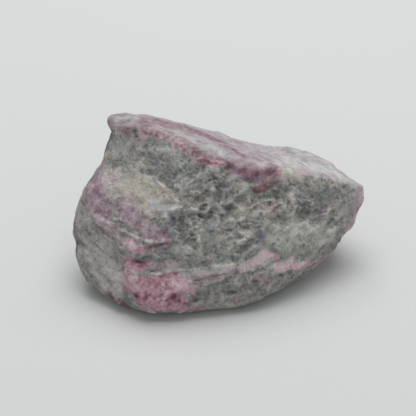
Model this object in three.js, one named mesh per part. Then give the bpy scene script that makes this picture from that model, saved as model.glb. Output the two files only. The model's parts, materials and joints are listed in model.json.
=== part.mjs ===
// A raw ruby crystal still locked in its grey mica-schist matrix: one loose, hand-sized chip of rock.
// Millimetres, +Z up. +X runs along the chip, from the thick end (-X) to the thin wedge end (+X), and -Y is the
// broad broken face. The origin is on the resting plane, under the middle of the chip's bounding box.
import * as THREE from 'three';
import { ConvexHull } from 'three/addons/math/ConvexHull.js';
import { ImprovedNoise } from 'three/addons/math/ImprovedNoise.js';
import { mergeVertices } from 'three/addons/utils/BufferGeometryUtils.js';

const stoneLength = 46; // along X; the other sizes follow the corners below
const meshDetail = 16; // icosphere subdivisions: 20 * (detail + 1)^2 triangles
const smoothingPasses = 1; // worn edges, about a millimetre in radius
const roughness = { height: 0.35, wavelength: 5.5 }; // broad unevenness of every broken face
const heart = new THREE.Vector3(-2, 0, 10); // the point the skin is measured out from
const stretch = new THREE.Vector3(1.7, 1, 1); // spreads the skin's points evenly along the chip

// Where the broken faces meet, on a chip 46 mm long. The lowest ones lie a little under the resting plane, and the
// part of the chip that reaches below it is ground flat.
const corners = {
  topFace: [
    [-17.0, 5.6, 23.6], [-15.0, 7.6, 24.1], [-8.7, 9.0, 21.6], [-2.3, 10.2, 18.7], [3.5, 10.8, 16.5],
    [13.0, 11.5, 13.8], [19.6, 8.0, 12.6],
  ],
  ridge: [
    [-14.5, 3.6, 24.0], [-9.0, 1.6, 23.9], [-3.2, -1.0, 21.0], [3.0, -1.5, 20.6], [9.6, -0.8, 18.0],
    [17.8, 1.4, 15.4], [21.2, 2.4, 13.5],
  ],
  wedgeEnd: [[22.7, 4.8, 11.7], [22.3, 4.2, 8.4], [19.8, -0.6, 9.4], [20.8, 3.4, 4.2], [18.4, -1.2, 4.0]],
  broadFace: [[-7.4, -6.4, 17.2], [-8.0, -9.9, 12.2], [7.5, -6.4, 13.2]],
  thickEnd: [[-22.6, -1.5, 9.0], [-22.4, -3.4, 6.2], [-21.2, -7.2, 3.3], [-18.6, 7.4, 12.0], [-19.6, -4.6, 11.6]],
  ledge: [[-9.5, -11.9, 9.0], [2.3, -11.2, 7.5], [12.9, -7.2, 5.4]],
  toe: [[-16.6, -11.0, 1.5], [-11.0, -14.2, 1.8], [-3.5, -13.7, 1.2], [5.6, -11.3, 1.2], [12.9, -5.4, 1.6]],
  back: [
    [-16.4, 10.6, 4.0], [-12.0, 12.4, 18.0], [-4.0, 14.6, 11.0], [6.0, 14.4, 5.5], [15.0, 10.8, 4.6],
    [4.0, 14.4, 13.0], [19.5, 7.4, 6.0],
  ],
  underside: [
    [-12.5, -9.0, -0.9], [-2.0, -10.0, -0.9], [6.0, -7.0, -0.9], [11.0, -1.0, -0.9], [9.0, 7.0, -0.9],
    [-1.0, 9.5, -0.9], [-12.0, 8.0, -0.9], [-17.0, 2.0, -0.9], [-17.5, -5.0, -0.9],
  ],
};

// Swellings (+) and hollows (-) on the skin: middle, reach each way and height.
const swellings = [
  { name: 'lip over the thick end', at: [-17.2, 5.0, 24.0], reach: [2.2, 2.6, 1.6], rise: 1.1 },
  { name: 'neck under the lip', at: [-17.0, 4.6, 21.8], reach: [2.0, 3.5, 1.1], rise: -0.9 },
  { name: 'hollow in the thick end', at: [-18.6, 3.2, 18.4], reach: [3.4, 4.5, 4.0], rise: -1.3 },
  { name: 'saddle in the top face', at: [6.0, 10.0, 18.0], reach: [3.6, 5.0, 4.0], rise: -0.9 },
  { name: 'hump behind the saddle', at: [12.0, 9.5, 16.0], reach: [4.0, 4.0, 3.0], rise: 0.8 },
  { name: 'plucked hollow in the broad face', at: [2.5, -5.0, 15.0], reach: [7.5, 5.0, 3.0], rise: -0.9 },
  { name: 'groove above the ruby ledge', at: [-7.5, -11.5, 9.6], reach: [5.0, 3.0, 0.9], rise: -0.7 },
  { name: 'ruby knot in the toe', at: [-9.5, -13.3, 4.8], reach: [4.6, 3.0, 3.2], rise: 0.6 },
  { name: 'ruby knot in the ledge', at: [6.8, -8.8, 6.4], reach: [2.2, 2.0, 1.2], rise: 0.6 },
  { name: 'step at the thick end', at: [-22.4, -3.0, 6.6], reach: [2.0, 3.0, 0.8], rise: -0.6 },
  { name: 'plucked hollow in the back', at: [4.0, 14.2, 9.0], reach: [6.0, 4.0, 4.0], rise: -1.0 },
];

const skin = unitSphere();
const noise = new ImprovedNoise();

shapeSkin();
smoothSkin();
roughenSkin();
grindBase();
standOnOrigin();

const stone = new THREE.Mesh(
  skin,
  new THREE.MeshStandardMaterial({ color: 0x8d7f86, roughness: 0.8, metalness: 0, flatShading: true }),
);
stone.name = 'ruby_stone';

const chip = new THREE.Group();
chip.name = 'raw_ruby';
chip.add(stone);

function unitSphere() {
  const sphere = new THREE.IcosahedronGeometry(1, meshDetail);
  sphere.deleteAttribute('normal');
  sphere.deleteAttribute('uv');
  return mergeVertices(sphere, 1e-4);
}

function eachPoint(move) {
  const positions = skin.getAttribute('position');
  const point = new THREE.Vector3();
  for (let i = 0; i < positions.count; i += 1) {
    point.fromBufferAttribute(positions, i);
    move(point, i);
    positions.setXYZ(i, point.x, point.y, point.z);
  }
}

// Throws every point of the sphere out from the heart to the flat faces that join the corners.
function shapeSkin() {
  const points = Object.values(corners).flat().map((corner) => new THREE.Vector3(...corner));
  const faces = new ConvexHull().setFromPoints(points);
  const ray = new THREE.Ray(heart);
  eachPoint((point) => {
    ray.direction.copy(point).multiply(stretch).normalize();
    faces.intersectRay(ray, point);
  });
}

function neighbours() {
  const index = skin.getIndex();
  const found = Array.from({ length: skin.getAttribute('position').count }, () => new Set());
  for (let i = 0; i < index.count; i += 3) {
    const triangle = [index.getX(i), index.getX(i + 1), index.getX(i + 2)];
    triangle.forEach((a) => triangle.forEach((b) => a !== b && found[a].add(b)));
  }
  return found;
}

// Wears the sharp edges down: each pass moves a point halfway to the middle of its neighbours.
function smoothSkin() {
  const around = neighbours();
  for (let pass = 0; pass < smoothingPasses; pass += 1) {
    const before = skin.getAttribute('position').clone();
    const middle = new THREE.Vector3();
    const other = new THREE.Vector3();
    eachPoint((point, i) => {
      middle.set(0, 0, 0);
      around[i].forEach((j) => middle.add(other.fromBufferAttribute(before, j)));
      point.lerp(middle.divideScalar(around[i].size), 0.5);
    });
  }
}

function roughenSkin() {
  const outward = new THREE.Vector3();
  eachPoint((point) => {
    outward.copy(point).sub(heart).normalize();
    const { x, y, z } = point.clone().divideScalar(roughness.wavelength);
    let height = roughness.height * noise.noise(x, y, z);
    swellings.forEach(({ at, reach, rise }) => {
      const away = point.clone().sub(new THREE.Vector3(...at)).divide(new THREE.Vector3(...reach));
      height += rise * Math.exp(-away.lengthSq());
    });
    point.addScaledVector(outward, height);
  });
}

function grindBase() {
  eachPoint((point) => {
    point.z = Math.max(point.z, 0);
  });
}

function standOnOrigin() {
  skin.computeBoundingBox();
  const { min, max } = skin.boundingBox;
  skin.translate(-(min.x + max.x) / 2, -(min.y + max.y) / 2, -min.z);
  const size = stoneLength / (max.x - min.x);
  skin.scale(size, size, size);
  skin.computeVertexNormals();
}

export default chip;
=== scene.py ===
import json
import math
import random

import bpy
import numpy as np
from mathutils import Matrix, Vector, noise
from mathutils.bvhtree import BVHTree
from mathutils.kdtree import KDTree

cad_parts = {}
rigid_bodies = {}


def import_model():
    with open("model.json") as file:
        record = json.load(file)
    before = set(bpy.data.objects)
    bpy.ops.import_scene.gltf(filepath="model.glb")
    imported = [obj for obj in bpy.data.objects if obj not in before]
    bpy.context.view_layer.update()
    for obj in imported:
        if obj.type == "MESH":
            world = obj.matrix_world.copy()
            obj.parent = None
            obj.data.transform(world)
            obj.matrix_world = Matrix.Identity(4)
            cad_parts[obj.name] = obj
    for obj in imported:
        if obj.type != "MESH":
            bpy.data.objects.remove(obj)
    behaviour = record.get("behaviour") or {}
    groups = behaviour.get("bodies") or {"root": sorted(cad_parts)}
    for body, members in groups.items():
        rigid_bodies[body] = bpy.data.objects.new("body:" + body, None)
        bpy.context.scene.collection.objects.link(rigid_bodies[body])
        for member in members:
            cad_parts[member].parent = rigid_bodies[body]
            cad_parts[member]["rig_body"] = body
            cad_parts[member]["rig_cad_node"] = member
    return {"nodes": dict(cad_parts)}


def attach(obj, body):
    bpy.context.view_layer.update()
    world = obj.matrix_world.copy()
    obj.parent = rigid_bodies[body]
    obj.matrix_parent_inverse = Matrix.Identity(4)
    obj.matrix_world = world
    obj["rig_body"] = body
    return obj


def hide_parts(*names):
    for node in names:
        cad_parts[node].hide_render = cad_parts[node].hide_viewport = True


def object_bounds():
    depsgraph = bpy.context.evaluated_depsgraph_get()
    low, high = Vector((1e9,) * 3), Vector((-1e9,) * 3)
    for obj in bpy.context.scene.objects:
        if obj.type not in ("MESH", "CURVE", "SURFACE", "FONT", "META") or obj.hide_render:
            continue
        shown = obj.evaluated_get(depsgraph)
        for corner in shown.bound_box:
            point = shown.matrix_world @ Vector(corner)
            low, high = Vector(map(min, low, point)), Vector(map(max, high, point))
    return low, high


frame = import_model()
cadLow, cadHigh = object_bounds()
stoneMiddle = (cadLow + cadHigh) / 2
mm = 0.001
print("frame loaded, stone box in mm:", [round(v / mm, 1) for v in cadHigh - cadLow])


# small helpers
def deselectAll():
    bpy.ops.object.select_all(action="DESELECT")


def makeActive(piece, *others):
    deselectAll()
    for o in (piece, *others):
        o.select_set(True)
    bpy.context.view_layer.objects.active = piece


def applyModifier(piece, kind, **settings):
    makeActive(piece)
    modifier = piece.modifiers.new(kind.lower(), kind)
    for name, value in settings.items():
        setattr(modifier, name, value)
    bpy.ops.object.modifier_apply(modifier=modifier.name)


def readVectors(piece, what):
    found = np.empty(len(piece.data.vertices) * 3, np.float32)
    piece.data.vertices.foreach_get(what, found)
    return found.reshape(-1, 3).astype(float)


def writePoints(piece, points):
    piece.data.vertices.foreach_set("co", points.astype(np.float32).ravel())
    piece.data.update()


def linear(hexColour):
    # sRGB hex to the linear colour that a shader takes
    channels = [int(hexColour[i : i + 2], 16) / 255 for i in (1, 3, 5)]
    return (*[c / 12.92 if c <= 0.04045 else ((c + 0.055) / 1.055) ** 2.4 for c in channels], 1)


def smoothStep(values, low, high):
    t = np.clip((values - low) / (high - low), 0, 1)
    return t * t * (3 - 2 * t)


# camera, light and floor
cameraSetup = {
    "elevation": math.radians(35),
    "distance": 0.26,
    "lens": 143,
    "aim": Vector((-1.7, 0.0, -1.28)) * mm,  # from the middle of the stone's box
}
lightSetup = {
    "overhead": {"power": 2.17, "size": 0.50, "at": (0.02, 0.17, 0.50)},
    "front": {"power": 0.14, "size": 0.50, "at": (0.10, -0.50, 0.42)},
    "roomLight": 0.31,
}


def makeCamera():
    s = cameraSetup
    back = Vector((0, -math.cos(s["elevation"]), math.sin(s["elevation"])))
    bpy.ops.object.camera_add(location=stoneMiddle + s["aim"] + back * s["distance"])
    camera = bpy.context.active_object
    camera.rotation_euler = (-back).to_track_quat("-Z", "Y").to_euler()
    camera.data.lens = s["lens"]
    camera.data.sensor_width = 36
    camera.data.clip_start, camera.data.clip_end = 0.01, 20
    bpy.context.scene.camera = camera


def makeStudio():
    deselectAll()
    for name in ("overhead", "front"):
        s = lightSetup[name]
        bpy.ops.object.light_add(type="AREA", location=s["at"])
        lamp = bpy.context.active_object
        lamp.name = name + "Softbox"
        lamp.rotation_euler = (stoneMiddle - lamp.location).to_track_quat("-Z", "Y").to_euler()
        lamp.data.energy = s["power"]
        lamp.data.size = s["size"]
    world = bpy.data.worlds.new("paleRoom")
    world.use_nodes = True
    world.node_tree.nodes["Background"].inputs["Color"].default_value = linear("#fbfcff")
    world.node_tree.nodes["Background"].inputs["Strength"].default_value = lightSetup["roomLight"]
    bpy.context.scene.world = world
    bpy.context.scene.view_settings.view_transform = "Standard"
    bpy.ops.mesh.primitive_plane_add(size=6, location=(0, 0, 0))
    floor = bpy.context.active_object
    floor.name = "paleFloor"
    paint = bpy.data.materials.new("matPaleBoard")
    paint.use_nodes = True
    paint.node_tree.nodes["Principled BSDF"].inputs["Base Color"].default_value = linear("#e1e2e1")
    paint.node_tree.nodes["Principled BSDF"].inputs["Roughness"].default_value = 0.9
    floor.data.materials.append(paint)


makeCamera()
makeStudio()
print("camera, light and floor placed")

# The stone is sculpted a thousand times up, so that one unit is a millimetre, and shrunk back at the end.
stoneShape = {
    "firstVoxel": 0.36,  # the grid that the crystals are stood on
    "voxel": 0.225,  # the finished mesh's grid
    "seed": 7,
    "foliationDip": math.radians(25),  # the mica lies in sheets that dip towards the front
    "baseFade": (0.15, 1.2),  # mm above the ground base over which the relief sets in
}
# How broken edges wander: size of the wander, how far it goes and where in the noise it starts, in mm.
wanders = {
    "marks": {"size": 1.6, "amount": 0.5, "offset": 11},
    "folds": {"size": 1.2, "amount": 0.35, "offset": 31},
    "knobs": {"size": 0.9, "amount": 0.4, "offset": 41},
}
# Winding crests on the rough schist: their size in mm, how much of the noise is crest, where in the noise they
# start, and their height next to the largest.
crestSets = {
    "large": {"size": 2.4, "width": 0.30, "offset": 3, "height": 1.0},
    "small": {"size": 1.2, "width": 0.30, "offset": 17, "height": 0.6},
}
# Heights in mm that each kind of relief adds to the skin.
heights = {
    "crests": 0.45,
    "crumbs": 0.1,
    "layers": 0.16,
    # a knob's tone is its painted shade in the hollows and painted highlight on the knobs
    "knobs": 1.7,  # for a whole unit of a knob's own tone
    "roseKnobs": 1.2,
}
# Flat parting faces, knocked off where the stone is proudest in that direction, and how deep.
cleavages = {
    "backHigh": {"facing": (-0.35, 0.88, 0.34), "bite": 0.8},
    "backLow": {"facing": (0.10, 0.93, -0.32), "bite": 0.7},
    "backLeft": {"facing": (-0.85, 0.50, 0.05), "bite": 0.8},
    "backRight": {"facing": (0.60, 0.66, -0.42), "bite": 0.8},
}


def copyOfNode(nodeName, newName):
    makeActive(frame["nodes"][nodeName])
    bpy.ops.object.duplicate()
    piece = bpy.context.active_object
    piece.name = newName
    piece.parent = None
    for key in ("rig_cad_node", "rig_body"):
        del piece[key]
    piece.data.materials.clear()
    piece.data.transform(Matrix.Scale(1 / mm, 4))
    bpy.ops.object.mode_set(mode="EDIT")
    bpy.ops.mesh.select_all(action="SELECT")
    bpy.ops.mesh.remove_doubles(threshold=0.01)
    bpy.ops.object.mode_set(mode="OBJECT")
    return piece


def cleave(piece):
    for cut in cleavages.values():
        facing = np.array(Vector(cut["facing"]).normalized())
        reach = (readVectors(piece, "co") @ facing).max() - cut["bite"]
        makeActive(piece)
        bpy.ops.object.mode_set(mode="EDIT")
        bpy.ops.mesh.select_all(action="SELECT")
        bpy.ops.mesh.bisect(
            plane_co=tuple(facing * reach), plane_no=tuple(facing), use_fill=True, clear_outer=True
        )
        bpy.ops.object.mode_set(mode="OBJECT")


# Where each mark lies. A stroke is the side it is seen from, its path there in mm (front and back: x and z,
# above and below: x and y, the two ends: y and z), its half width at each end and how much of the rock it
# takes. "soft" is the fade at its edge, in mm. "waver" is how far the edge wanders, where that isn't usual.
marks = {
    "mauve": {  # corundum in thin films along the mica
        "soft": 1.0,
        "strokes": [
            ("front", [(-19.0, 16.2), (-19.0, 14.8), (-18.2, 13.7)], 2.1, 1.6, 1.5),
            ("front", [(-17.6, 11.9), (-15.8, 11.6), (-14.2, 11.0), (-12.7, 10.5)], 0.6, 0.6, 1.0),
            ("front", [(-18.8, 17.0), (-17.0, 17.8), (-15.4, 18.2)], 0.7, 0.6, 1.2),
            ("front", [(-20.6, 14.2), (-21.0, 12.6)], 0.5, 0.5, 0.6),
            ("thickEnd", [(1.2, 18.0), (-0.9, 18.4)], 0.9, 0.6, 0.6),
            ("front", [(-15.0, 15.4), (-13.9, 14.6), (-12.7, 14.0)], 1.0, 1.3, 1.4),
            ("front", [(-12.7, 13.9), (-11.5, 13.4), (-10.2, 13.0), (-8.2, 12.8)], 1.3, 0.9, 1.4),
            ("front", [(-21.6, 9.4), (-19.6, 9.4)], 1.2, 1.0, 0.4),
            ("front", [(-12.6, 8.6), (-10.4, 9.1), (-7.8, 9.2), (-6.6, 9.2)], 0.4, 0.3, 1.0),
            ("above", [(-11.0, 5.2), (-8.5, 6.6), (-5.3, 6.6), (-2.5, 5.6), (0.0, 4.6)], 1.6, 1.2, 0.8),
            ("above", [(0.8, 2.7), (2.6, 1.4), (3.8, 0.4)], 0.9, 0.7, 1.2),
            ("above", [(2.8, 7.6), (5.6, 6.6), (7.6, 3.9), (10.0, 2.9)], 0.9, 0.6, 0.6),
            ("front", [(2.3, 20.2), (4.9, 19.3), (6.7, 18.9), (8.6, 18.7)], 0.8, 1.1, 1.2),
            ("front", [(-5.8, 7.2), (-3.8, 6.9), (-1.5, 7.4), (2.3, 7.8)], 0.8, 0.5, 0.95),
            ("back", [(-9.5, 12.6), (-5.0, 10.4), (-1.0, 9.6)], 1.2, 1.8, 0.7),
            ("back", [(-1.0, 9.0), (3.0, 8.4), (6.5, 7.0)], 1.6, 0.7, 0.8),
            ("back", [(8.0, 13.6), (12.0, 12.4), (16.0, 11.0)], 0.6, 1.0, 0.7),
            ("back", [(-16.0, 13.0), (-14.5, 16.0)], 1.2, 0.7, 0.7),
            ("thickEnd", [(7.0, 15.0), (4.0, 12.0), (0.0, 10.0)], 1.4, 0.8, 0.6),
            ("below", [(-10.0, 2.0), (2.0, 5.0)], 1.2, 1.8, 0.8),
        ],
    },
    "rose": {  # massive granular corundum
        "soft": 0.45,
        "strokes": [
            ("front", [(-13.9, 8.2), (-13.7, 6.4), (-13.5, 4.8)], 0.9, 1.0, 0.9),
            ("front", [(-13.0, 8.2), (-11.4, 8.7)], 0.7, 0.4, 1.0),
            ("front", [(-12.2, 5.7), (-9.8, 5.9), (-7.6, 6.3)], 1.9, 1.9, 1.0),
            ("front", [(-6.8, 6.0), (-5.4, 5.6), (-3.8, 5.1)], 1.4, 0.6, 1.3),
            ("front", [(-12.0, 3.8), (-9.0, 3.6), (-5.8, 3.4)], 1.2, 1.2, 1.0),
            ("front", [(-10.6, 2.4), (-6.6, 2.2), (-2.6, 2.0)], 0.6, 0.5, 0.8),
            ("front", [(-13.6, 11.0), (-12.7, 10.6), (-11.9, 10.5)], 0.8, 0.6, 1.1),
            ("front", [(-14.2, 11.3), (-13.4, 10.9)], 0.4, 0.4, 0.7),
            ("front", [(3.0, 20.2), (4.9, 19.5), (6.7, 19.0), (8.6, 18.8)], 0.5, 0.9, 0.45),
            ("front", [(9.1, 19.0), (9.4, 18.5)], 0.5, 0.4, 0.9),
            ("front", [(-2.9, 21.5), (-1.2, 21.1), (0.2, 21.0)], 0.55, 0.4, 0.8),
            ("above", [(-9.2, 0.9), (-8.6, 0.8)], 0.5, 0.5, 0.6),
            ("above", [(-6.2, 0.2), (-5.6, 0.0)], 0.4, 0.4, 0.7),
            ("above", [(3.0, 7.9), (4.6, 7.4)], 0.4, 0.4, 0.6),
            ("front", [(-17.4, 24.0), (-16.6, 24.4)], 0.9, 0.7, 0.95),
            ("front", [(3.9, 7.9), (5.8, 8.4), (7.4, 8.7), (8.4, 8.3)], 0.55, 0.6, 1.0),
            ("front", [(9.0, 6.5), (11.0, 6.2), (13.1, 5.5), (15.1, 4.5)], 0.7, 0.6, 0.85),
            ("front", [(15.1, 4.4), (17.2, 3.9), (18.6, 4.6)], 0.6, 0.45, 0.9),
            ("front", [(5.5, 5.6), (7.9, 4.8)], 0.8, 0.7, 0.4),
            ("front", [(1.7, 2.5), (4.8, 2.2)], 0.5, 0.5, 0.4),
            ("front", [(-16.8, 2.1), (-15.5, 1.7), (-14.2, 1.5)], 0.65, 0.55, 1.0),
            ("back", [(-10.0, 5.5), (-6.0, 4.0)], 1.5, 1.0, 1.0),
            ("back", [(9.0, 6.0), (14.5, 7.5), (18.0, 8.5)], 0.5, 0.7, 0.9),
            ("thickEnd", [(4.6, 11.6), (3.8, 10.4)], 0.5, 0.4, 0.8),
            ("thickEnd", [(2.6, 8.6), (2.2, 7.6)], 0.4, 0.3, 0.8),
        ],
    },
    "vein": {  # thin dusky veins of the same corundum
        "soft": 0.3,
        "strokes": [
            ("wedgeEnd", [(3.2, 11.9), (1.8, 10.8), (0.6, 9.2), (-0.2, 8.0), (-0.6, 6.6)], 0.7, 0.6, 1.4),
            ("front", [(15.7, 12.6), (17.0, 12.4), (18.5, 12.6)], 0.4, 0.3, 1.0),
            ("front", [(-3.4, 5.9), (-2.0, 6.4), (0.0, 6.7), (1.4, 7.0)], 0.3, 0.2, 0.75),
            ("front", [(-11.1, 10.7), (-10.1, 11.4), (-8.8, 11.8), (-7.5, 11.9)], 0.4, 0.25, 1.0),
            ("front", [(-11.2, 12.2), (-9.8, 12.6), (-8.9, 13.1), (-7.9, 13.0)], 0.6, 0.3, 1.0),
            ("front", [(-14.9, 14.6), (-14.2, 13.8), (-13.0, 13.2), (-11.2, 12.8)], 0.5, 0.4, 0.9),
            ("front", [(-19.9, 15.2), (-19.0, 14.2), (-18.2, 13.4)], 0.6, 0.4, 0.8),
            ("above", [(0.6, 1.9), (1.6, 1.5), (2.9, 1.3)], 0.5, 0.4, 0.9),
            ("above", [(4.8, 0.6), (7.0, 0.0), (9.0, -0.5)], 0.5, 0.5, 1.0),
            ("above", [(-3.2, 1.8), (-2.0, 1.2)], 0.3, 0.3, 0.8),
            ("above", [(-10.0, 4.4), (-5.0, 5.6), (-1.0, 6.4)], 0.5, 0.5, 0.6),
            ("above", [(12.9, 1.1), (14.4, 1.2), (16.0, 1.6)], 0.45, 0.3, 0.8),
            ("back", [(-6.0, 7.0), (0.0, 5.4), (6.0, 4.4)], 0.4, 0.3, 0.8),
        ],
    },
    "seam": {  # seams of feldspar, the palest lines
        "soft": 0.2,
        "waver": 0.25,
        "strokes": [
            ("front", [(-12.0, 7.3), (-10.1, 7.8), (-7.8, 8.1), (-6.4, 8.2)], 0.14, 0.24, 0.9),
            ("front", [(-11.5, 11.8), (-10.2, 11.8), (-9.1, 12.1), (-7.4, 12.2)], 0.16, 0.14, 0.9),
            ("front", [(5.1, 7.1), (7.1, 7.4), (8.3, 7.8)], 0.22, 0.2, 0.9),
            ("front", [(3.8, 18.1), (6.0, 17.9)], 0.3, 0.25, 1.0),
            ("front", [(-6.0, 8.2), (-4.0, 8.2), (0.0, 8.5), (3.6, 8.4)], 0.18, 0.15, 0.5),
            ("front", [(-4.0, 5.2), (-2.3, 5.8), (-0.2, 6.3), (1.1, 6.7)], 0.14, 0.12, 0.7),
            (
                "front",
                [(-19.6, 12.9), (-18.0, 12.6), (-16.0, 12.4), (-14.3, 12.3), (-12.4, 11.8)],
                0.2,
                0.25,
                0.7,
            ),
            (
                "front",
                [(-12.2, 19.2), (-10.2, 19.0), (-8.4, 18.7), (-7.2, 18.1), (-6.4, 17.3)],
                0.5,
                0.3,
                1.3,
            ),
            ("front", [(-3.2, 12.6), (-3.2, 12.0), (-2.9, 11.0), (-2.2, 9.4)], 0.26, 0.22, 0.8),
            ("front", [(20.0, 13.4), (20.0, 11.7), (19.6, 9.6)], 0.22, 0.2, 0.6),
            ("back", [(-13.0, 15.4), (-4.0, 13.4), (6.0, 12.0)], 0.3, 0.2, 0.7),
        ],
    },
    "crust": {  # crumbs of corundum and feldspar along the edge of the top
        "soft": 0.4,
        "strokes": [
            ("above", [(-12.0, 2.6), (-8.8, 1.8), (-6.6, 0.8), (-4.5, -0.3)], 1.2, 1.4, 1.0),
            ("above", [(-4.5, -0.4), (-2.9, -1.3), (-1.2, -2.0), (1.4, -2.2)], 1.4, 0.8, 1.0),
            ("above", [(3.0, -1.3), (5.0, -1.6), (8.2, -1.6)], 0.7, 0.6, 0.9),
            ("front", [(-17.4, 23.9), (-14.6, 23.7), (-11.6, 23.5)], 0.7, 0.9, 0.65),
            ("front", [(9.0, 6.0), (12.0, 5.2)], 0.5, 0.4, 0.6),
            ("back", [(-14.0, 20.0), (-2.0, 16.6)], 0.8, 0.7, 0.8),
        ],
    },
    "cream": {  # feldspar
        "soft": 0.9,
        "strokes": [
            ("front", [(-17.4, 17.9), (-13.8, 18.2), (-10.8, 18.3), (-8.6, 17.6)], 1.2, 1.2, 1.0),
            ("front", [(-15.6, 16.6), (-13.0, 16.3), (-10.4, 15.8)], 1.2, 1.4, 1.0),
            ("above", [(3.2, -1.4), (4.8, -1.5)], 0.4, 0.4, 0.9),
            ("above", [(-3.8, -0.2), (-2.2, -0.7), (-1.0, -1.0)], 0.3, 0.3, 1.0),
            ("front", [(4.4, 15.2), (6.0, 14.8), (7.6, 14.4)], 1.3, 1.1, 0.8),
            ("front", [(11.0, 15.1), (11.8, 14.9)], 0.6, 0.5, 0.6),
            ("above", [(9.7, -1.0), (11.0, -0.5), (12.6, 0.4)], 1.1, 1.0, 1.3),
            ("front", [(12.9, 16.9), (14.9, 16.4), (17.5, 15.4), (19.4, 14.6)], 0.45, 0.4, 0.6),
            ("front", [(-6.2, 6.9), (-5.9, 6.6)], 0.3, 0.3, 0.9),
            ("back", [(-14.0, 14.0), (-6.0, 15.0)], 0.7, 0.5, 0.8),
        ],
    },
    # painted sheen where these lie on the top and on the lip; on the front they are pale bands of the stone
    "paleAndSheen": {  # quartz
        "soft": 0.6,
        "strokes": [
            ("above", [(-5.6, 1.7), (-3.4, 1.2), (-1.1, 0.5), (0.6, -0.2)], 0.6, 0.8, 0.9),
            ("above", [(-15.6, 5.0), (-12.3, 5.2)], 0.6, 0.5, 0.8),
            ("above", [(6.0, 7.5), (9.0, 6.0), (13.0, 5.5)], 2.5, 2.5, 0.4),
            ("above", [(10.0, 7.0), (14.0, 6.0), (20.0, 4.5)], 4.5, 3.0, 0.5),
            ("front", [(-10.2, 16.3), (-8.4, 16.5), (-6.6, 16.5)], 0.8, 0.6, 1.0),
            ("front", [(-5.8, 7.5), (-4.0, 7.5), (-1.5, 7.9), (2.3, 8.2)], 0.6, 0.4, 0.6),
            ("front", [(-5.6, 4.4), (-5.0, 4.2)], 0.5, 0.4, 0.8),
        ],
    },
    "warm": {  # schist stained by the corundum next to it
        "soft": 1.5,
        "strokes": [
            ("front", [(-20.0, 13.0), (-18.5, 8.0), (-16.5, 3.5)], 4.0, 3.0, 1.0),
            ("front", [(-15.0, 12.0), (-13.0, 10.5)], 2.5, 1.5, 0.8),
            ("front", [(-16.5, 17.0), (-12.5, 15.0)], 3.0, 2.5, 1.0),
            ("front", [(-16.5, 20.6), (-12.0, 21.2), (-9.0, 20.5)], 2.2, 1.6, 0.3),
            ("front", [(-4.0, 4.0), (4.0, 3.2), (10.0, 3.2)], 1.8, 1.4, 0.45),
            ("wedgeEnd", [(2.6, 12.4), (0.8, 10.2), (-0.4, 7.2)], 2.1, 1.5, 1.4),
            ("back", [(-12.0, 8.0), (-2.0, 5.0)], 4.0, 3.0, 0.7),
        ],
    },
    "dark": {  # pits and crumbs of black mica
        "soft": 0.35,
        "waver": 0.3,
        "strokes": [
            ("above", [(-12.9, 2.3), (-12.6, 1.6)], 0.35, 0.3, 0.9),
            ("front", [(-3.2, 21.5), (-2.7, 21.4)], 0.3, 0.3, 0.8),
            ("front", [(-1.0, 19.7), (-0.8, 19.5)], 0.3, 0.3, 0.9),
            ("front", [(-0.3, 18.2), (-0.1, 18.0)], 0.35, 0.25, 1.0),
            ("front", [(-2.3, 16.2), (-2.1, 16.0)], 0.3, 0.25, 0.8),
            ("front", [(2.0, 9.6), (2.1, 9.0)], 0.2, 0.2, 0.9),
            ("front", [(1.5, 4.1), (2.5, 4.0)], 0.3, 0.22, 0.9),
            ("front", [(5.2, 5.3), (5.8, 5.1)], 0.3, 0.25, 0.7),
            ("front", [(9.8, 3.0), (10.3, 2.9)], 0.35, 0.3, 0.7),
            ("front", [(-3.6, 3.4), (-3.2, 3.4)], 0.25, 0.25, 0.8),
        ],
    },
    "brick": {  # one thin plate of deeper red
        "soft": 0.25,
        "waver": 0.3,
        "strokes": [
            ("front", [(5.8, 17.2), (6.9, 17.4), (8.1, 17.5), (9.7, 17.4)], 0.6, 0.15, 1.0),
        ],
    },
}
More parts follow.
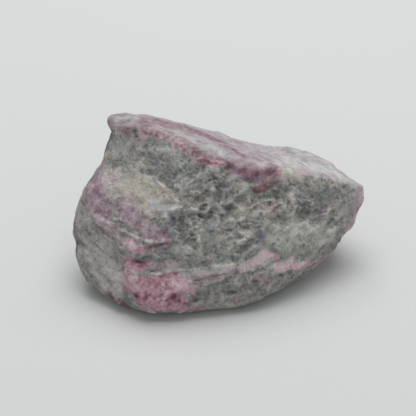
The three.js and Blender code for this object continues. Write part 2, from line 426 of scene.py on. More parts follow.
# Where the rock is lighter (+) or darker (-): side, path, half widths and by how much. These are partly the
# rock's own tone and partly painted light and shade.
shades = [
    ("front", [(-13.2, 21.4), (-10.5, 20.8)], 1.4, 1.5, -0.10),
    ("front", [(-9.0, 19.9), (-7.2, 19.2)], 0.8, 0.7, -0.10),
    ("front", [(-9.7, 22.3), (-8.9, 21.6), (-7.5, 21.1)], 0.4, 0.3, -0.12),
    # painted light: the neck under the lip faces down and is painted lighter against its shade
    ("front", [(-16.4, 23.0), (-15.0, 21.4), (-12.5, 20.4)], 1.1, 1.3, 0.16),
    ("front", [(-4.4, 20.8), (-0.6, 19.2)], 1.0, 1.0, -0.05),
    ("front", [(9.4, 15.8), (17.3, 13.6)], 0.9, 0.8, -0.08),
    ("front", [(7.8, 16.3), (9.0, 16.1)], 0.5, 0.5, -0.10),
    ("front", [(8.6, 13.3), (11.2, 12.3)], 0.6, 0.6, -0.18),
    ("front", [(12.9, 13.0), (15.0, 12.6)], 0.7, 0.6, -0.18),
    ("front", [(9.0, 11.2), (12.0, 10.6), (15.4, 9.0), (17.2, 8.2)], 1.8, 1.5, 0.24),
    ("front", [(9.6, 11.8), (12.5, 11.4), (15.4, 10.2)], 0.7, 0.6, 0.12),
    ("front", [(11.3, 11.9), (11.9, 11.2)], 0.5, 0.4, 0.10),
    ("front", [(-5.0, 4.2), (8.0, 3.3)], 1.4, 1.2, -0.04),
    ("wedgeEnd", [(2.4, 12.4), (0.6, 9.8), (-0.3, 7.0)], 1.9, 1.2, 0.02),
    ("front", [(-16.8, 2.1), (-15.5, 1.7), (-14.2, 1.5)], 0.7, 0.6, -0.40),
    ("front", [(-19.7, 15.1), (-19.0, 14.5), (-18.6, 13.9)], 0.5, 0.4, -0.06),
    ("front", [(-14.6, 14.4), (-14.4, 14.0), (-13.6, 13.5)], 0.4, 0.4, -0.12),
    ("front", [(-11.1, 10.7), (-10.1, 11.4), (-8.8, 11.8), (-7.5, 11.9)], 0.3, 0.25, -0.26),
    ("front", [(-11.2, 12.2), (-9.8, 12.6), (-8.9, 13.1), (-7.9, 13.0)], 0.4, 0.3, -0.16),
    ("front", [(-6.4, 5.9), (-5.0, 5.6), (-4.0, 5.1)], 0.6, 0.4, 0.36),
    ("front", [(-13.6, 7.6), (-13.2, 5.4)], 0.9, 0.8, 0.16),
    ("front", [(3.9, 7.9), (5.8, 8.4), (7.4, 8.7)], 0.7, 0.8, 0.50),
    ("front", [(9.0, 6.5), (11.0, 6.2), (13.1, 5.6)], 0.7, 0.6, 0.40),
    ("front", [(-5.8, 7.2), (-3.0, 7.2), (1.5, 8.0)], 0.9, 0.7, 0.16),
    ("front", [(-6.8, 6.0), (-5.4, 5.6), (-4.0, 5.1)], 1.0, 0.6, 0.12),
    ("front", [(2.6, 6.4), (8.0, 5.4), (11.0, 4.6)], 0.8, 0.6, 0.10),
    ("front", [(9.0, 5.3), (10.7, 5.0), (12.0, 4.7)], 0.3, 0.25, -0.18),
    ("front", [(2.1, 20.4), (4.7, 19.4), (8.6, 18.7)], 0.8, 1.0, -0.22),
    ("front", [(6.2, 19.7), (6.8, 19.5)], 0.4, 0.4, 0.24),
    ("above", [(-17.4, 5.0), (-14.0, 4.6)], 1.8, 1.4, -0.13),
    ("above", [(-11.0, 5.2), (-8.5, 6.6), (-5.3, 6.6), (-2.5, 5.6), (0.0, 4.6)], 1.8, 1.3, -0.14),
    ("above", [(0.8, 2.7), (2.6, 1.4), (3.8, 0.4)], 0.8, 0.6, -0.16),
    ("above", [(-3.4, -1.0), (-2.0, -1.8)], 0.7, 0.7, -0.28),
    ("above", [(-14.0, 2.9), (-12.0, 2.4), (-9.8, 1.6)], 1.0, 0.8, -0.12),
    ("above", [(-0.6, -2.1), (2.2, -2.2)], 0.6, 0.6, -0.12),
    ("front", [(-17.0, 18.0), (-13.0, 18.2), (-9.5, 17.8)], 1.6, 1.6, 0.23),
    ("front", [(-14.0, 14.0), (-10.5, 13.0)], 1.2, 1.0, 0.14),
    ("front", [(-10.0, 16.4), (-7.0, 16.6)], 0.9, 0.8, 0.10),
    ("front", [(-17.0, 16.6), (-11.0, 16.2)], 1.4, 1.4, 0.07),
    ("front", [(5.8, 16.4), (9.6, 16.6)], 0.35, 0.3, -0.12),
    ("front", [(-13.5, 10.9), (-12.7, 10.6), (-11.9, 10.5)], 0.9, 0.8, 0.20),
    ("front", [(-14.2, 11.0), (-13.6, 10.9)], 0.4, 0.4, 0.16),
    ("front", [(-17.0, 12.0), (-13.0, 11.2)], 0.6, 0.6, 0.08),
    ("front", [(-19.0, 8.0), (-16.5, 4.5)], 2.6, 2.2, 0.18),
    ("front", [(-8.0, 8.6), (-7.0, 8.6)], 0.5, 0.5, 0.08),
    ("front", [(-5.6, 7.4), (-1.5, 7.8), (2.3, 8.1)], 0.6, 0.5, 0.18),
    ("front", [(-12.5, 6.0), (-6.5, 5.0)], 2.0, 1.8, 0.05),
    ("front", [(-11.3, 8.0), (-9.6, 8.4), (-7.8, 8.7)], 0.25, 0.2, -0.16),
    ("front", [(-13.5, 8.7), (-12.4, 9.0), (-11.1, 9.3)], 0.25, 0.2, -0.22),
    ("above", [(10.0, 1.0), (12.0, 4.5), (18.0, 4.0)], 2.0, 2.5, 0.16),
]
# Plucked hollows (-) and knobs (+) seen from the front: x, z, radius in mm and how dark or light. The hollows
# are painted darker as shade and the knobs lighter as highlight; the light ones in the rose knot are painted
# glints.
knobs = [
    (-7.5, 19.8, 0.8, -0.14), (-2.3, 20.4, 0.4, -0.12), (-0.9, 19.4, 0.6, -0.08), (-3.4, 16.8, 0.5, -0.12),
    (-0.3, 16.5, 0.4, -0.12), (2.6, 16.4, 0.9, -0.14), (1.5, 15.2, 0.5, -0.16), (-1.2, 14.9, 0.7, -0.16),
    (-2.9, 14.7, 0.5, -0.12), (-6.9, 14.6, 0.6, -0.16), (-5.8, 14.8, 0.5, -0.14), (-1.4, 12.8, 0.5, -0.12),
    (-4.0, 11.4, 0.6, -0.10), (6.3, 11.4, 0.8, -0.14), (8.2, 9.4, 0.7, -0.12), (-7.8, 15.1, 0.5, 0.10),
    (2.3, 17.5, 0.7, 0.10), (-3.6, 17.7, 0.8, 0.08), (2.1, 13.8, 0.6, 0.12), (1.0, 11.5, 0.5, 0.12),
    (3.6, 11.6, 0.6, 0.10), (11.6, 16.0, 0.7, 0.08), (-6.6, 4.4, 0.7, -0.26), (-7.9, 6.0, 0.6, -0.20),
    (-12.6, 4.2, 0.6, -0.22), (-10.9, 4.8, 0.5, -0.20), (-11.8, 6.2, 0.35, 0.24), (-7.3, 6.6, 0.35, 0.30),
    (-11.6, 4.6, 0.3, 0.28), (-8.3, 5.2, 0.4, 0.22), (-9.6, 4.0, 0.5, 0.20), (-8.6, 3.6, 0.4, 0.18),
    (-10.2, 6.6, 0.4, 0.14), (-14.6, 12.9, 0.3, -0.16), (-15.8, 13.2, 0.4, 0.18), (-22.2, 6.2, 0.4, -0.12),
]
# Folds (+) and grooves (-) in the skin: side, path, half width and rise. The rise also paints the colour:
# grooves darker as painted shade, folds lighter as painted highlight.
folds = [
    (
        "front",
        [(-5.3, 15.4), (-4.3, 15.9), (-3.1, 15.2), (-2.2, 15.1), (-1.7, 15.8), (-0.6, 15.8)],
        0.34,
        0.7,
    ),
    ("front", [(-0.6, 15.8), (0.0, 15.2), (0.9, 14.5)], 0.3, 0.6),
    ("front", [(0.6, 15.9), (1.8, 15.9), (2.9, 15.2), (3.2, 14.4), (3.0, 13.6)], 0.32, 0.6),
    ("front", [(-8.8, 14.7), (-8.1, 15.7), (-6.9, 16.1), (-5.5, 16.1)], 0.3, 0.5),
    ("front", [(-5.3, 14.4), (-4.0, 13.8), (-3.1, 13.2)], 0.3, 0.5),
    ("front", [(-3.2, 12.6), (-3.2, 12.0), (-2.9, 11.0), (-2.6, 10.1), (-2.2, 9.4)], 0.28, 0.6),
    ("front", [(5.0, 13.6), (6.4, 14.0), (8.4, 13.6)], 0.5, 0.3),
    (
        "front",
        [(-20.0, 12.9), (-18.0, 12.6), (-16.0, 12.4), (-14.3, 12.3), (-12.4, 11.8), (-11.0, 11.7)],
        0.3,
        0.4,
    ),
    ("front", [(-19.9, 12.2), (-18.6, 11.6), (-17.0, 11.0), (-15.6, 10.4)], 0.22, -0.25),
    ("front", [(-16.4, 13.8), (-15.0, 13.2), (-13.6, 12.8), (-12.0, 12.4)], 0.25, -0.25),
    ("front", [(-21.0, 11.4), (-19.4, 10.6), (-17.6, 10.0)], 0.22, 0.35),
    ("front", [(-20.4, 9.6), (-18.6, 9.0), (-16.8, 8.2), (-15.4, 7.8)], 0.25, -0.35),
    ("front", [(-19.6, 7.4), (-17.6, 6.6), (-15.8, 5.6)], 0.25, 0.35),
    ("front", [(-19.0, 5.4), (-17.4, 4.6), (-16.0, 3.8)], 0.25, -0.3),
    ("front", [(-11.5, 11.8), (-10.2, 11.8), (-9.1, 12.1), (-7.4, 12.2)], 0.22, 0.3),
    ("front", [(-11.1, 10.7), (-10.1, 11.4), (-8.8, 11.8), (-7.5, 11.9)], 0.22, -0.3),
    ("front", [(-11.0, 12.1), (-9.6, 12.4), (-9.0, 13.0), (-7.9, 13.0)], 0.22, -0.2),
    ("front", [(-11.2, 19.5), (-9.6, 19.2), (-8.4, 18.8), (-7.2, 18.2), (-6.4, 17.4)], 0.25, 0.25),
    ("front", [(-10.4, 18.8), (-9.0, 18.4), (-7.6, 17.7)], 0.3, -0.15),
    ("front", [(-13.5, 8.7), (-12.4, 9.0), (-11.1, 9.3)], 0.25, -0.35),
    ("front", [(-11.3, 8.0), (-9.6, 8.4), (-7.8, 8.7)], 0.22, -0.3),
    ("front", [(-11.9, 7.5), (-10.1, 7.9), (-7.8, 8.1), (-6.6, 8.3), (-4.0, 8.3)], 0.22, 0.35),
    ("front", [(-12.8, 9.9), (-10.6, 10.2), (-7.0, 10.0)], 0.25, 0.3),
    ("front", [(-6.0, 8.2), (-4.0, 8.2), (0.0, 8.5), (3.6, 8.4)], 0.25, 0.4),
    ("front", [(-4.0, 5.2), (-2.3, 5.8), (-0.2, 6.3), (1.1, 6.7)], 0.22, 0.4),
    ("front", [(-4.4, 6.4), (-1.2, 7.0), (2.0, 7.4)], 0.22, -0.35),
    ("front", [(3.7, 7.4), (5.1, 7.2), (7.1, 7.5), (8.3, 8.0)], 0.22, 0.25),
    ("front", [(3.0, 6.8), (6.0, 6.7), (8.6, 7.2)], 0.3, -0.15),
    ("front", [(8.8, 5.3), (10.7, 5.0), (12.0, 4.7)], 0.25, -0.25),
    ("front", [(4.3, 18.1), (5.8, 18.0)], 0.22, 0.35),
    ("front", [(-9.6, 22.2), (-8.9, 21.6), (-7.5, 21.1)], 0.3, -0.3),
    ("front", [(20.0, 13.3), (20.0, 11.7), (19.7, 9.4), (19.7, 6.7)], 0.3, 0.35),
    ("wedgeEnd", [(5.0, 12.2), (4.0, 11.8), (2.5, 11.0)], 0.9, 0.5),
    ("wedgeEnd", [(3.4, 11.4), (1.6, 10.2), (0.5, 9.2), (-0.4, 8.0), (-0.4, 6.6)], 0.8, 0.8),
    ("wedgeEnd", [(-1.4, 5.2), (0.6, 4.9), (2.5, 4.7)], 1.0, -1.3),
    ("above", [(13.5, 9.4), (16.5, 9.2), (19.0, 7.8)], 2.0, 0.6),
    ("thickEnd", [(3.0, 24.0), (5.0, 24.2), (6.5, 24.2)], 0.9, 0.4),
    ("front", [(1.5, 4.1), (2.6, 4.0)], 0.3, -0.25),
    ("front", [(2.0, 9.8), (2.1, 8.9)], 0.25, -0.25),
    ("front", [(5.6, 16.9), (9.9, 16.9)], 0.25, -0.25),
    ("back", [(-14.0, 9.0), (-4.0, 6.5), (8.0, 4.5)], 0.8, -0.7),
    ("back", [(-12.0, 16.0), (0.0, 13.0), (12.0, 11.5)], 0.7, 0.5),
    ("thickEnd", [(1.0, 22.4), (4.0, 22.4), (7.5, 22.6)], 0.8, -0.3),
    ("thickEnd", [(-6.6, 6.8), (-4.6, 6.4)], 0.5, 0.4),
    ("thickEnd", [(-6.6, 8.1), (-3.6, 7.9)], 0.5, -0.4),
]
# Where the schist broke rough; the rest is worn smoother.
roughAreas = [
    ("front", [(-5.0, 18.5), (-4.5, 14.0), (-5.0, 11.5)], 2.4, 2.4, 1.0),
    ("front", [(0.0, 18.5), (3.0, 12.5), (4.0, 10.0)], 4.0, 2.2, 1.0),
    ("front", [(6.0, 15.0), (13.0, 12.5), (16.0, 10.5)], 3.2, 3.0, 1.0),
    ("front", [(-3.0, 3.8), (4.0, 3.2), (10.0, 3.6)], 1.4, 1.2, 0.7),
    ("back", [(-8.0, 12.0), (6.0, 9.0)], 6.0, 5.0, 1.0),
    ("below", [(-10.0, 0.0), (8.0, 0.0)], 7.0, 6.0, 1.0),
]
# The edge between the smooth top and the broad broken face, seen from above.
ridgeLine = [
    (-23.0, 4.5), (-17.5, 3.8), (-13.5, 3.0), (-9.0, 1.4), (-5.4, -0.4), (-3.5, -1.5), (1.7, -1.9),
    (5.0, -2.6), (9.0, -1.3), (13.5, -0.1), (18.0, 1.2), (21.3, 2.2), (23.0, 3.0),
]
# How a path's two numbers, and the ray that throws it on to the skin, are read from each side.
sides = {
    "front": (lambda a, b: (a, -60, b), (0, 1, 0)),
    "back": (lambda a, b: (a, 60, b), (0, -1, 0)),
    "above": (lambda a, b: (a, b, 60), (0, 0, -1)),
    "below": (lambda a, b: (a, b, -60), (0, 0, 1)),
    "thickEnd": (lambda a, b: (-60, a, b), (1, 0, 0)),
    "wedgeEnd": (lambda a, b: (60, a, b), (-1, 0, 0)),
}


def skinOf(piece):
    bpy.context.view_layer.update()
    return BVHTree.FromObject(piece, bpy.context.evaluated_depsgraph_get())


def throwPath(skin, side, path, step=0.25):
    # the path as points a quarter of a millimetre apart on the skin; what misses the stone is left out
    start, direction = sides[side]
    found = []
    for (a0, b0), (a1, b1) in zip(path, path[1:]):
        count = max(2, round(math.dist((a0, b0), (a1, b1)) / step))
        for i in range(count + 1):
            t = i / count
            hit = skin.ray_cast(Vector(start(a0 + (a1 - a0) * t, b0 + (b1 - b0) * t)), Vector(direction))
            if hit[0] is not None:
                found.append(hit[0])
    return np.array(found)


def nearestOnPath(points, path, reach=4):
    # which points are near the path, how far from it, and how far along it (0 to 1) its nearest place is
    low, high = path.min(0) - reach, path.max(0) + reach
    near = np.nonzero(((points > low) & (points < high)).all(1))[0]
    away = np.linalg.norm(points[near, None, :] - path[None, :, :], axis=2)
    return near, away.min(1), away.argmin(1) / max(1, len(path) - 1)


def noiseAt(points, size, offset):
    shift = np.full(3, offset)
    return np.array([noise.noise(Vector(p)) for p in points / size + shift])


def wavering(points, size, amount, offset):
    # the points pushed about by smooth noise, so that nothing measured from them has a ruled edge
    shift = np.full(3, offset)
    return points + amount * np.array([noise.noise_vector(Vector(p)) for p in points / size + shift])


def inFoliation(points):
    # turned so that z runs across the mica sheets
    return points @ np.array(Matrix.Rotation(-stoneShape["foliationDip"], 3, "X")).T


def coverage(points, skin, strokes, soft):
    # how much of the rock these strokes take at each point, 0 to 1
    cover = np.zeros(len(points))
    for side, path, startWidth, endWidth, amount in strokes:
        thrown = throwPath(skin, side, path)
        if len(thrown) == 0:
            continue
        near, away, along = nearestOnPath(points, thrown, max(startWidth, endWidth) + soft)
        depth = startWidth + (endWidth - startWidth) * along - away
        cover[near] = np.maximum(cover[near], amount * smoothStep(depth, -soft, soft))
    return cover


def coverOfTop(points, skin):
    # the smooth top: behind the ridge and facing up
    behind = points[:, 1] - np.interp(points[:, 0], *zip(*ridgeLine))
    up = np.array([skin.find_nearest(Vector(p))[1].z for p in points])
    return smoothStep(np.minimum(behind, (up - 0.5) * 6), -0.4, 0.4)


def shadeOf(points, skin):
    shade = np.zeros(len(points))
    for side, path, startWidth, endWidth, amount in shades:
        shade += amount * coverage(points, skin, [(side, path, startWidth, endWidth, 1.0)], 0.8)
    return shade


def foldRise(points, skin):
    rise = np.zeros(len(points))
    for side, path, width, height in folds:
        thrown = throwPath(skin, side, path)
        near, away, along = nearestOnPath(points, thrown)
        taper = smoothStep(along, 0, 0.2) * (1 - smoothStep(along, 0.8, 1)) * 0.75 + 0.25
        rise[near] += height * taper * np.exp(-((away / width) ** 2))
    return rise


def shadeOfKnobs(points, skin):
    # how much painted highlight the knobs and painted shade the hollows get; their height follows from it
    found = np.zeros(len(points))
    for x, z, radius, amount in knobs:
        middle = throwPath(skin, "front", [(x, z), (x + 0.01, z)])[:1]
        near, away, _ = nearestOnPath(points, middle, radius * 2.5)
        found[near] += amount * np.exp(-((away / radius) ** 2))
    return found


def windingCrests(points):
    # 1 on the crest and 0 away from it, drawn out a little along the foliation
    local = inFoliation(points) / (1.5, 1.1, 0.9)
    found = np.zeros(len(points))
    for crest in crestSets.values():
        away = np.abs(noiseAt(local, crest["size"], crest["offset"])) / crest["width"]
        found = np.maximum(found, crest["height"] * np.clip(1 - away, 0, 1) ** 1.5)
    return found


def crumbled(points, size):
    # crumbs of about this size, 1 in the middle of each and 0 in the cracks between them
    away = np.array([noise.voronoi(Vector(p))[0][:2] for p in inFoliation(points) / (1.3, 1.0, 0.8) / size])
    return smoothStep(away[:, 1] - away[:, 0], 0, 0.35)


# Ruby crystals standing in the skin: stubby six-sided barrels, heaped in the pink marks within these corners.
sunkShare = 0.28  # of its width, how deep a crystal sits
toneReach = 0.68  # in widths, how far from its middle a crystal gives its own tone
rubyCrystals = {
    "toeKnot": {"low": (-16, -16, 2.0), "high": (-3, -8, 8), "count": 90, "size": (0.9, 2.1)},
    "grooveKnot": {"low": (-15, -14, 8), "high": (-6, -8, 12), "count": 14, "size": (0.5, 1.0)},
    "ridge": {"low": (-12, -4, 17), "high": (10, 4, 25), "count": 60, "size": (0.4, 0.7)},
    "ledge": {"low": (8, -13, 3), "high": (20, -3, 9), "count": 24, "size": (0.5, 1.0)},
    "back": {"low": (-14, 8, 1), "high": (20, 16, 12), "count": 50, "size": (0.8, 1.8)},
}


def selectFaces(piece, test):
    # leaves the piece in edit mode with only the faces that pass the test selected
    bpy.ops.object.mode_set(mode="EDIT")
    bpy.ops.mesh.select_mode(type="FACE")
    bpy.ops.mesh.select_all(action="DESELECT")
    bpy.ops.object.mode_set(mode="OBJECT")
    for face in piece.data.polygons:
        face.select = test(face)
    bpy.ops.object.mode_set(mode="EDIT")


def modelCrystal():
    deselectAll()
    bpy.ops.mesh.primitive_cylinder_add(vertices=6, radius=0.5, depth=0.9)
    crystal = bpy.context.active_object
    crystal.name = "rubyBarrel"
    selectFaces(crystal, lambda face: abs(face.normal.z) > 0.9)
    bpy.ops.mesh.inset(thickness=0.08, depth=0.05)
    bpy.ops.object.mode_set(mode="OBJECT")
    return crystal


def heapCrystals(piece, skin):
    chance = random.Random(stoneShape["seed"])
    crystal = modelCrystal()
    points, normals = readVectors(piece, "co"), readVectors(piece, "normal")
    rose = coverage(wavering(points, **wanders["marks"]), skin, marks["rose"]["strokes"], 0.2)
    grown = []
    for heap in rubyCrystals.values():
        places = np.nonzero((rose > 0.6) & ((points > heap["low"]) & (points < heap["high"])).all(1))[0]
        for _ in range(heap["count"] if len(places) else 0):
            i = places[chance.randrange(len(places))]
            size = chance.uniform(*heap["size"])
            normal = Vector(normals[i])
            lean = Vector((chance.gauss(0, 0.8), chance.gauss(0, 0.8), 1)).to_track_quat("Z", "Y")
            turn = (normal.to_track_quat("Z", "Y") @ lean).to_matrix().to_4x4()
            spin = Matrix.Rotation(chance.uniform(0, math.tau), 4, "Z")
            one = crystal.copy()
            one.data = crystal.data.copy()
            bpy.context.collection.objects.link(one)
            place = Vector(points[i]) - normal * size * sunkShare
            one.matrix_world = Matrix.Translation(place) @ turn @ spin @ Matrix.Scale(size, 4)
            grown.append((one, place, size))
    bpy.data.objects.remove(crystal)
    return grown


def crystalTones(points, grown):
    # each crystal has a tone of its own, from just above 0 to 1; 0 is no crystal
    chance = random.Random(stoneShape["seed"] + 1)
    tones = [chance.uniform(0.05, 1) for _ in grown]
    tree = KDTree(len(grown))
    for i, (_, place, size) in enumerate(grown):
        tree.insert(place, i)
    tree.balance()
    found = np.zeros(len(points))
    for n, p in enumerate(points):
        share, i = min((away / grown[i][2], i) for _, i, away in tree.find_n(Vector(p), 4))
        if share < toneReach:
            found[n] = tones[i]
    return found


def joinAll(piece, parts):
    for part in parts:
        makeActive(part)
        bpy.ops.object.transform_apply(location=True, rotation=True, scale=True)
    makeActive(piece, *parts)
    bpy.ops.object.join()


def weightBy(piece, name, weights):
    # a vertex group, which the Displace modifiers read
    group = piece.vertex_groups.new(name=name)
    steps = np.clip(np.round(weights * 20) / 20, 0, 1)
    for step in np.unique(steps):
        group.add(np.nonzero(steps == step)[0].tolist(), float(step), "REPLACE")


# Relief of the broken skin: the size of its noise in mm, its strength in mm and the group that it acts on.
reliefs = {
    "pluckedHollows": {"noiseSize": 2.8, "noiseDepth": 1, "strength": 0.9, "group": "rough"},
    "looseGrain": {"noiseSize": 0.7, "noiseDepth": 1, "strength": 0.2, "group": "rough"},
    "wornWaves": {"noiseSize": 2.2, "noiseDepth": 2, "strength": 0.35, "group": "worn"},
}


def roughenSkin(piece):
    for name, relief in reliefs.items():
        texture = bpy.data.textures.new(name, "CLOUDS")
        texture.noise_scale = relief["noiseSize"]
        texture.noise_depth = relief["noiseDepth"]
        applyModifier(
            piece,
            "DISPLACE",
            texture=texture,
            texture_coords="LOCAL",
            strength=relief["strength"],
            mid_level=0.5,
            vertex_group=relief["group"],
        )


def storeValues(piece, name, values):
    attribute = piece.data.attributes.new(name, "FLOAT", "POINT")
    attribute.data.foreach_set("value", values.astype(np.float32))


def measureRelief(piece):
    # how proud of the smoothed skin each point is, in mm: low in cracks, high on worn peaks. The colour reads
    # it as painted shade in the cracks and a painted highlight on the peaks.
    makeActive(piece)
    bpy.ops.object.duplicate()
    smoothed = bpy.context.active_object
    applyModifier(smoothed, "SMOOTH", factor=0.5, iterations=24)
    away = readVectors(piece, "co") - readVectors(smoothed, "co")
    bpy.data.objects.remove(smoothed)
    return (away * readVectors(piece, "normal")).sum(1)


def makeStone():
    noise.seed_set(stoneShape["seed"])  # or the wandering edges would change with every run
    stone = copyOfNode("ruby_stone", "rubyStone")
    applyModifier(stone, "SUBSURF", levels=1, render_levels=1)
    cleave(stone)
    applyModifier(stone, "REMESH", mode="VOXEL", voxel_size=stoneShape["firstVoxel"])
    skin = skinOf(stone)
    grown = heapCrystals(stone, skin)
    joinAll(stone, [one for one, _, _ in grown])
    print("crystals grown:", len(grown))
    applyModifier(stone, "REMESH", mode="VOXEL", voxel_size=stoneShape["voxel"])

    points, normals = readVectors(stone, "co"), readVectors(stone, "normal")
    wavered = wavering(points, **wanders["marks"])
    values = {}
    for kind, mark in marks.items():
        wander = wanders["marks"] | {"amount": mark.get("waver", wanders["marks"]["amount"])}
        values[kind] = coverage(wavering(points, **wander), skin, mark["strokes"], mark["soft"])
    values["top"] = coverOfTop(wavered, skin)
    values["shade"] = shadeOf(wavered, skin)
    values["crystal"] = crystalTones(points, grown)
    aboveBase = smoothStep(points[:, 2], *stoneShape["baseFade"])
    solid = np.maximum(values["top"], np.maximum(values["mauve"], values["rose"]))
    rough = coverage(wavered, skin, roughAreas, 0.8) * (1 - solid)
    crests = windingCrests(wavered)
    crumbs = crumbled(wavered, 1.0)
    layers = noiseAt(inFoliation(wavered) / (4.0, 4.0, 1.0), 0.8, 5)
    lines = foldRise(wavering(points, **wanders["folds"]), skin)
    knobShade = shadeOfKnobs(wavering(points, **wanders["knobs"]), skin)
    inRose = values["rose"] >= 0.5
    lines += knobShade * np.where(inRose, heights["roseKnobs"], heights["knobs"])
    # the knobs' painted shade, highlights and glints go into the shade
    values["shade"] += knobShade
    rise = lines + rough * (heights["crests"] * crests + heights["crumbs"] * crumbs)
    rise += (1 - rough) * heights["layers"] * layers
    writePoints(stone, points + normals * (rise * aboveBase)[:, None])
    weightBy(stone, "rough", aboveBase * (0.2 + 0.8 * rough))
    weightBy(stone, "worn", aboveBase * (1 - rough))
    roughenSkin(stone)
    # painted highlight on the crests and the middles of the crumbs, painted shade in the cracks between the
    # crumbs
    values["crest"] = rough * (0.8 * crests + 0.2 * crumbs)
    # the fold and knob rise, kept to paint grooves and hollows darker as shade and folds and knobs lighter as
    # highlight
    values["foldShade"] = lines
    # kept to paint the colour: darker in the cracks as painted shade, lighter on the peaks as painted
    # highlight
    values["relief"] = measureRelief(stone)
    for kind, value in values.items():
        storeValues(stone, kind, value)
    writePoints(stone, np.clip(readVectors(stone, "co"), np.array(cadLow) / mm, np.array(cadHigh) / mm))
    stone.vertex_groups.clear()
    stone.data.transform(Matrix.Scale(mm, 4))
    makeActive(stone)
    bpy.ops.object.shade_smooth()
    return stone


stone = makeStone()
print("stone sculpted:", len(stone.data.polygons), "faces")

# Ruby in mica schist: a broken rock of quartz, feldspar and black mica grains about half a millimetre across,
# dull and speckled grey, with corundum grown in it that is denser, smoother and dusky rose to mauve.
stoneFinish = {
    "grainSize": 0.55,
    "fineGrainSize": 0.3,
    "streakLength": 3.0,
    "streakThickness": 0.5,
    "schist": [(0.1, "#4c4f50"), (0.35, "#7b7d7b"), (0.5, "#9d9e99"), (0.65, "#bfc0b8"), (0.9, "#e4e4da")],
    "warm": [(0.1, "#55504e"), (0.35, "#817e7b"), (0.5, "#9b9896"), (0.65, "#b4b1ae"), (0.9, "#d7d4d0")],
    "mauve": [(0.1, "#6b4d59"), (0.35, "#937684"), (0.5, "#a88f9a"), (0.65, "#bba7af"), (0.9, "#dccfd3")],
    "rose": [(0.1, "#5c303e"), (0.35, "#985f70"), (0.5, "#bb8a9a"), (0.65, "#cfa3b1"), (0.9, "#ead0d8")],
    "top": [(0.1, "#86757d"), (0.35, "#a1959b"), (0.5, "#b1a9ad"), (0.65, "#bdb8ba"), (0.9, "#d6d3d4")],
    "crust": [(0.1, "#684f55"), (0.35, "#93797f"), (0.5, "#aa969a"), (0.65, "#c2b3b2"), (0.9, "#e0dad4")],
    "cream": [(0.1, "#8f8981"), (0.35, "#aca69d"), (0.5, "#b9b4aa"), (0.65, "#c7c2b6"), (0.9, "#dcd9cc")],
    "paleAndSheen": [(0.1, "#959395"), (0.35, "#adabad"), (0.5, "#bab9ba"), (0.65, "#c7c6c6"), (0.9, "#dedddc")],
    "seam": [(0.1, "#93867f"), (0.35, "#b1a7a0"), (0.5, "#c0b8b0"), (0.65, "#cec7bf"), (0.9, "#e4dfd8")],
    "brick": [(0.1, "#4f3a3a"), (0.35, "#715455"), (0.5, "#806263"), (0.65, "#917575"), (0.9, "#b59d9b")],
    "rosyTint": "#b5a3a4",
    "mossyTint": "#b1b39d",
    "dark": "#53524c",
    "slateTint": "#8f989f",
    "oliveTint": "#9c9c86",
}


def addNode(tree, kind, inputs=None, ramp=None, **settings):
    # adds a node; an input is a value or another node's output
    made = tree.nodes.new("ShaderNode" + kind)
    for name, value in settings.items():
        setattr(made, name, value)
    for name, value in (inputs or {}).items():
        if isinstance(value, bpy.types.NodeSocket):
            tree.links.new(value, made.inputs[name])
        else:
            made.inputs[name].default_value = value
    if ramp:
        stops = made.color_ramp.elements
        while len(stops) < len(ramp):
            stops.new(0.5)
        for stop, (place, colour) in zip(stops, ramp):
            stop.position = place
            stop.color = linear(colour)
    return made


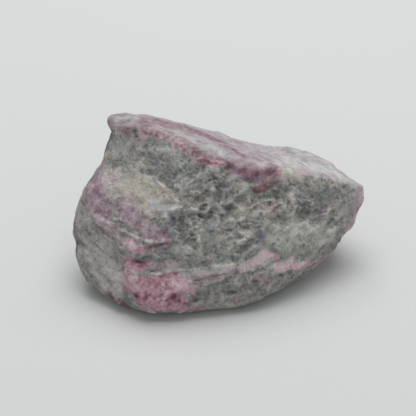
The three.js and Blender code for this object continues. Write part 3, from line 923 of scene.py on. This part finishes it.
def rubyInSchist():
    s = stoneFinish
    material = bpy.data.materials.new("matRubyInSchist")
    material.use_nodes = True
    tree = material.node_tree
    shader = tree.nodes["Principled BSDF"]

    def out(kind, inputs=None, output=0, **settings):
        return addNode(tree, kind, inputs, **settings).outputs[output]

    def maths(operation, *values):
        return out("Math", dict(enumerate(values)), operation=operation)

    def mixed(factor, a, b):
        return out("Mix", {0: factor, 6: a, 7: b}, output=2, data_type="RGBA")

    def stepped(value, low, high):
        ends = {"Value": value, "From Min": low, "From Max": high}
        return out("MapRange", ends, interpolation_type="SMOOTHSTEP")

    def attribute(name):
        return out("Attribute", output="Fac", attribute_name=name)

    def varied(middle, noises, others=()):
        # the middle value, with each noise (0.5 on average) swinging it by its weight, and the others added
        middle -= sum(weight for _, weight in noises) / 2
        for value, weight in (*noises, *others):
            middle = maths("MULTIPLY_ADD", value, weight, middle)
        return middle

    def coloured(tone, name):
        return out("ValToRGB", {"Fac": tone}, ramp=s[name])

    objectPlace = out("TexCoord", output="Object")
    inMillimetres = out("Mapping", {"Vector": objectPlace, "Scale": (1 / mm,) * 3})
    swirl = out("TexNoise", {"Vector": inMillimetres, "Scale": 0.9, "Detail": 2.0}, output="Color")
    warped = out("VectorMath", {0: swirl, 1: (0.6, 0.6, 0.6), 2: inMillimetres}, operation="MULTIPLY_ADD")
    layered = out("Mapping", {"Vector": warped, "Rotation": (-stoneShape["foliationDip"], 0, 0)})
    along, across = 1 / s["streakLength"], 1 / s["streakThickness"]
    layered = out("Mapping", {"Vector": layered, "Scale": (along, along, across)})
    streak = out("TexNoise", {"Vector": layered, "Scale": 1.0, "Detail": 3.0})
    grain = addNode(tree, "TexVoronoi", {"Vector": warped, "Scale": 1 / s["grainSize"]})
    fineGrain = addNode(tree, "TexVoronoi", {"Vector": inMillimetres, "Scale": 1 / s["fineGrainSize"]})
    grainTone = out("SeparateColor", {"Color": grain.outputs["Color"]})
    fineTone = out("SeparateColor", {"Color": fineGrain.outputs["Color"]})
    broad = out("TexNoise", {"Vector": inMillimetres, "Scale": 0.3, "Detail": 2.0})
    mid = out("TexNoise", {"Vector": warped, "Scale": 0.9, "Detail": 2.0})
    small = out("TexNoise", {"Vector": warped, "Scale": 1.9, "Detail": 1.0})
    worms = out("TexNoise", {"Vector": warped, "Scale": 1.3, "Detail": 1.0})
    # worm: thin winding lines painted lighter as highlight; pit: spots painted darker as shade; the bump
    # raises the worms and sinks the pits
    worm = stepped(maths("ABSOLUTE", maths("SUBTRACT", worms, 0.5)), 0.09, 0.0)
    pit = stepped(out("TexNoise", {"Vector": warped, "Scale": 1.9, "Detail": 1.0}), 0.40, 0.30)
    relief, crest, crystal = attribute("relief"), attribute("crest"), attribute("crystal")
    shade, foldShade = attribute("shade"), attribute("foldShade")

    # painted light and shade in every tone: relief darkens the cracks and lightens the peaks, the fold rise
    # darkens grooves and lightens folds and knobs, and the shade strokes add their own light and dark with the
    # knobs' painted shade and glints
    shadeEverywhere = [(relief, 0.35), (shade, 1.0), (foldShade, 0.16)]
    # painted highlight on the crests and worms, painted shade in the pits
    crestAndPitShade = [(crest, 0.12), (worm, 0.08), (pit, -0.12)]
    schistNoise = [(grainTone, 0.05), (fineTone, 0.05), (small, 0.38), (mid, 0.5)]
    schistNoise += [(broad, 0.5), (streak, 0.3)]
    schistTone = varied(0.435, schistNoise, shadeEverywhere + crestAndPitShade)
    warmNoise = [(fineTone, 0.05), (small, 0.5), (mid, 0.6), (broad, 0.4), (streak, 0.4)]
    warmTone = varied(0.53, warmNoise, shadeEverywhere)
    softNoise = [(fineTone, 0.03), (small, 0.6), (mid, 0.8), (streak, 0.7)]
    softTone = varied(0.55, softNoise, shadeEverywhere)
    topNoise = [(mid, 0.8), (broad, 0.7), (streak, 0.5)]
    # the top takes the same painted shade from relief, shade strokes and the fold rise
    topTone = varied(0.53, topNoise, [(relief, 0.15), (shade, 1.0), (foldShade, 0.22)])
    roseNoise = [(grainTone, 0.08), (fineTone, 0.06), (small, 0.5), (mid, 0.7)]
    roseTone = varied(0.46, roseNoise, shadeEverywhere + [(crystal, 0.18)])
    crustNoise = [(grainTone, 0.10), (fineTone, 0.08), (small, 0.6), (mid, 0.7)]
    crustTone = varied(0.49, crustNoise, shadeEverywhere)

    schist = coloured(schistTone, "schist")
    tintNoise = out("TexNoise", {"Vector": warped, "Scale": 0.7}, output="Color")
    tint = addNode(tree, "SeparateColor", {"Color": tintNoise})
    slate = maths("MULTIPLY", stepped(tint.outputs[0], 0.5, 0.65), 0.4)
    olive = maths("MULTIPLY", stepped(tint.outputs[1], 0.5, 0.65), 0.3)
    schist = mixed(slate, schist, linear(s["slateTint"]))
    schist = mixed(olive, schist, linear(s["oliveTint"]))

    def covered(kind, soft, noises):
        # the mark's coverage, broken up at its edges by the noises
        return stepped(varied(0.0, noises, [(attribute(kind), 1.0)]), 0.5 - soft, 0.5 + soft)

    streaky = [(streak, 1.0), (mid, 0.6)]
    grainy = [(fineTone, 0.3), (small, 1.5), (mid, 0.8)]
    colour = mixed(attribute("warm"), schist, coloured(warmTone, "warm"))
    isTop = covered("top", 0.2, streaky)
    colour = mixed(isTop, colour, coloured(topTone, "top"))
    rosy = maths("MULTIPLY", stepped(tint.outputs[2], 0.5, 0.62), 0.6)
    mossy = maths("MULTIPLY", stepped(tint.outputs[1], 0.5, 0.62), 0.5)
    creamy = mixed(rosy, coloured(softTone, "cream"), linear(s["rosyTint"]))
    creamy = mixed(mossy, creamy, linear(s["mossyTint"]))
    colour = mixed(covered("cream", 0.4, grainy), colour, creamy)
    # pale streaks: painted sheen on the top and the lip, pale stone on the front
    colour = mixed(covered("paleAndSheen", 0.35, streaky), colour, coloured(softTone, "paleAndSheen"))
    isMauve = covered("mauve", 0.5, streaky)
    colour = mixed(isMauve, colour, coloured(softTone, "mauve"))
    isCrust = covered("crust", 0.3, grainy)
    colour = mixed(isCrust, colour, coloured(crustTone, "crust"))
    colour = mixed(covered("vein", 0.4, grainy), colour, coloured(softTone, "mauve"))
    isRose = covered("rose", 0.35, grainy)
    colour = mixed(isRose, colour, coloured(roseTone, "rose"))
    colour = mixed(covered("seam", 0.4, grainy), colour, coloured(softTone, "seam"))
    colour = mixed(covered("brick", 0.45, [(small, 1.2), (mid, 0.6)]), colour, coloured(crustTone, "brick"))
    colour = mixed(covered("dark", 0.4, [(small, 1.6), (fineTone, 0.3)]), colour, linear(s["dark"]))
    tree.links.new(colour, shader.inputs["Base Color"])

    gloss = varied(0.8, [(fineTone, -0.2)], [(isRose, -0.25), (isTop, -0.15)])
    tree.links.new(gloss, shader.inputs["Roughness"])
    shader.inputs["IOR"].default_value = 1.6
    height = varied(0.0, [(grainTone, 0.3), (fineTone, 0.2), (small, 1.5)], [(pit, -0.6), (worm, 0.3)])
    bump = addNode(tree, "Bump", {"Height": height, "Strength": 0.4, "Distance": 0.25 * mm})
    tree.links.new(bump.outputs["Normal"], shader.inputs["Normal"])
    return material


stone.data.materials.append(rubyInSchist())
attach(stone, "root")
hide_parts("ruby_stone")
print("stone finished")
